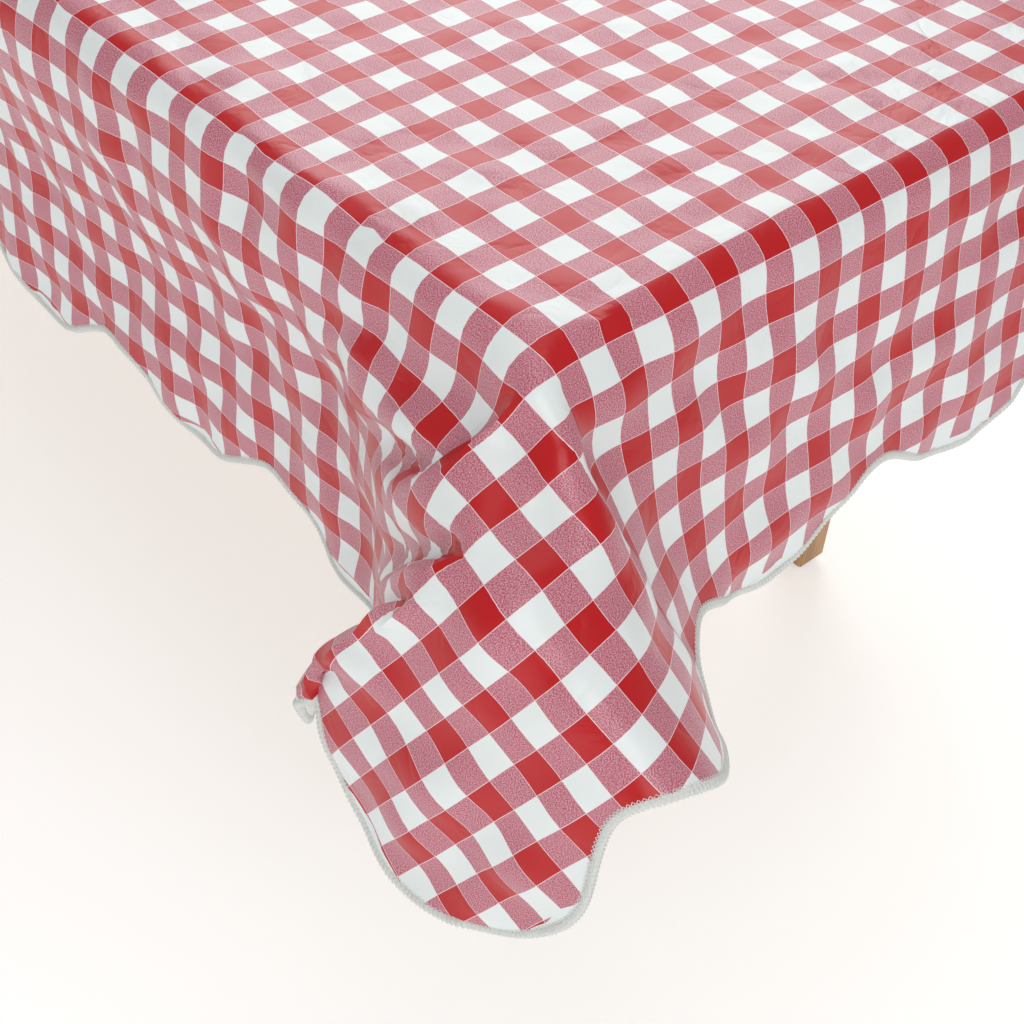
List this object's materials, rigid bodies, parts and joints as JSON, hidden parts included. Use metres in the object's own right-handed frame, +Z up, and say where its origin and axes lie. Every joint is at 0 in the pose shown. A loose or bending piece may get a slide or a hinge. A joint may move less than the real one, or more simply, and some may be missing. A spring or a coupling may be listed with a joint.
{
  "type": "tablecloth on a table",
  "caption": "Oblong vinyl tablecloth with a crocheted edge, draped over a four-leg dining table with corner lobes hanging in folds.",
  "frame": {"origin": "on the floor under the middle of the whole outline", "axes": "+X along the table, from the cloth's left end to its right end; +Y from front to back; +Z up"},
  "size_m": [1.9678, 1.1552, 0.752],
  "materials": {
    "printed_vinyl": "satin printed film",
    "brushed_flannel": "brushed",
    "crochet_cotton": "matte thread",
    "oak": "satin lacquer",
    "pale_wood": "raw",
    "zinc_steel": "zinc plated",
    "black_nylon": "moulded"
  },
  "bodies": {
    "table": {"table_top": "oak", "apron_front": "oak", "apron_right": "oak", "apron_back": "oak", "apron_left": "oak", "cross_rail": "pale_wood", "leg_front_right": "oak", "corner_block_front_right": "pale_wood", "hanger_bolt_front_right": "zinc_steel", "washer_front_right": "zinc_steel", "hex_nut_front_right": "zinc_steel", "threaded_insert_front_right": "zinc_steel", "leg_back_right": "oak", "corner_block_back_right": "pale_wood", "hanger_bolt_back_right": "zinc_steel", "washer_back_right": "zinc_steel", "hex_nut_back_right": "zinc_steel", "threaded_insert_back_right": "zinc_steel", "leg_back_left": "oak", "corner_block_back_left": "pale_wood", "hanger_bolt_back_left": "zinc_steel", "washer_back_left": "zinc_steel", "hex_nut_back_left": "zinc_steel", "threaded_insert_back_left": "zinc_steel", "leg_front_left": "oak", "corner_block_front_left": "pale_wood", "hanger_bolt_front_left": "zinc_steel", "washer_front_left": "zinc_steel", "hex_nut_front_left": "zinc_steel", "threaded_insert_front_left": "zinc_steel", "top_clip_front_right": "zinc_steel", "top_screw_front_right": "zinc_steel", "apron_screw_front_right": "zinc_steel", "top_clip_front_left": "zinc_steel", "top_screw_front_left": "zinc_steel", "apron_screw_front_left": "zinc_steel", "top_clip_back_right": "zinc_steel", "top_screw_back_right": "zinc_steel", "apron_screw_back_right": "zinc_steel", "top_clip_back_left": "zinc_steel", "top_screw_back_left": "zinc_steel", "apron_screw_back_left": "zinc_steel", "top_clip_end_right": "zinc_steel", "top_screw_end_right": "zinc_steel", "apron_screw_end_right": "zinc_steel", "top_clip_end_left": "zinc_steel", "top_screw_end_left": "zinc_steel", "apron_screw_end_left": "zinc_steel"},
    "tablecloth": {"vinyl_face": "printed_vinyl", "flannel_backing": "brushed_flannel", "crochet_edging": "crochet_cotton"},
    "glide_front_right": {"levelling_glide_front_right": "black_nylon"},
    "glide_back_right": {"levelling_glide_back_right": "black_nylon"},
    "glide_back_left": {"levelling_glide_back_left": "black_nylon"},
    "glide_front_left": {"levelling_glide_front_left": "black_nylon"}
  },
  "joints": [
    {"name": "cloth_lift", "type": "slide", "parent": "table", "child": "tablecloth", "axis": [0, 0, 1], "range_m": [0, 0.38]},
    {"name": "glide_screw_front_right", "type": "slide", "parent": "table", "child": "glide_front_right", "axis": [0, 0, -1], "range_m": [0, 0.012]},
    {"name": "glide_screw_back_right", "type": "slide", "parent": "table", "child": "glide_back_right", "axis": [0, 0, -1], "range_m": [0, 0.012]},
    {"name": "glide_screw_back_left", "type": "slide", "parent": "table", "child": "glide_back_left", "axis": [0, 0, -1], "range_m": [0, 0.012]},
    {"name": "glide_screw_front_left", "type": "slide", "parent": "table", "child": "glide_front_left", "axis": [0, 0, -1], "range_m": [0, 0.012]}
  ]
}
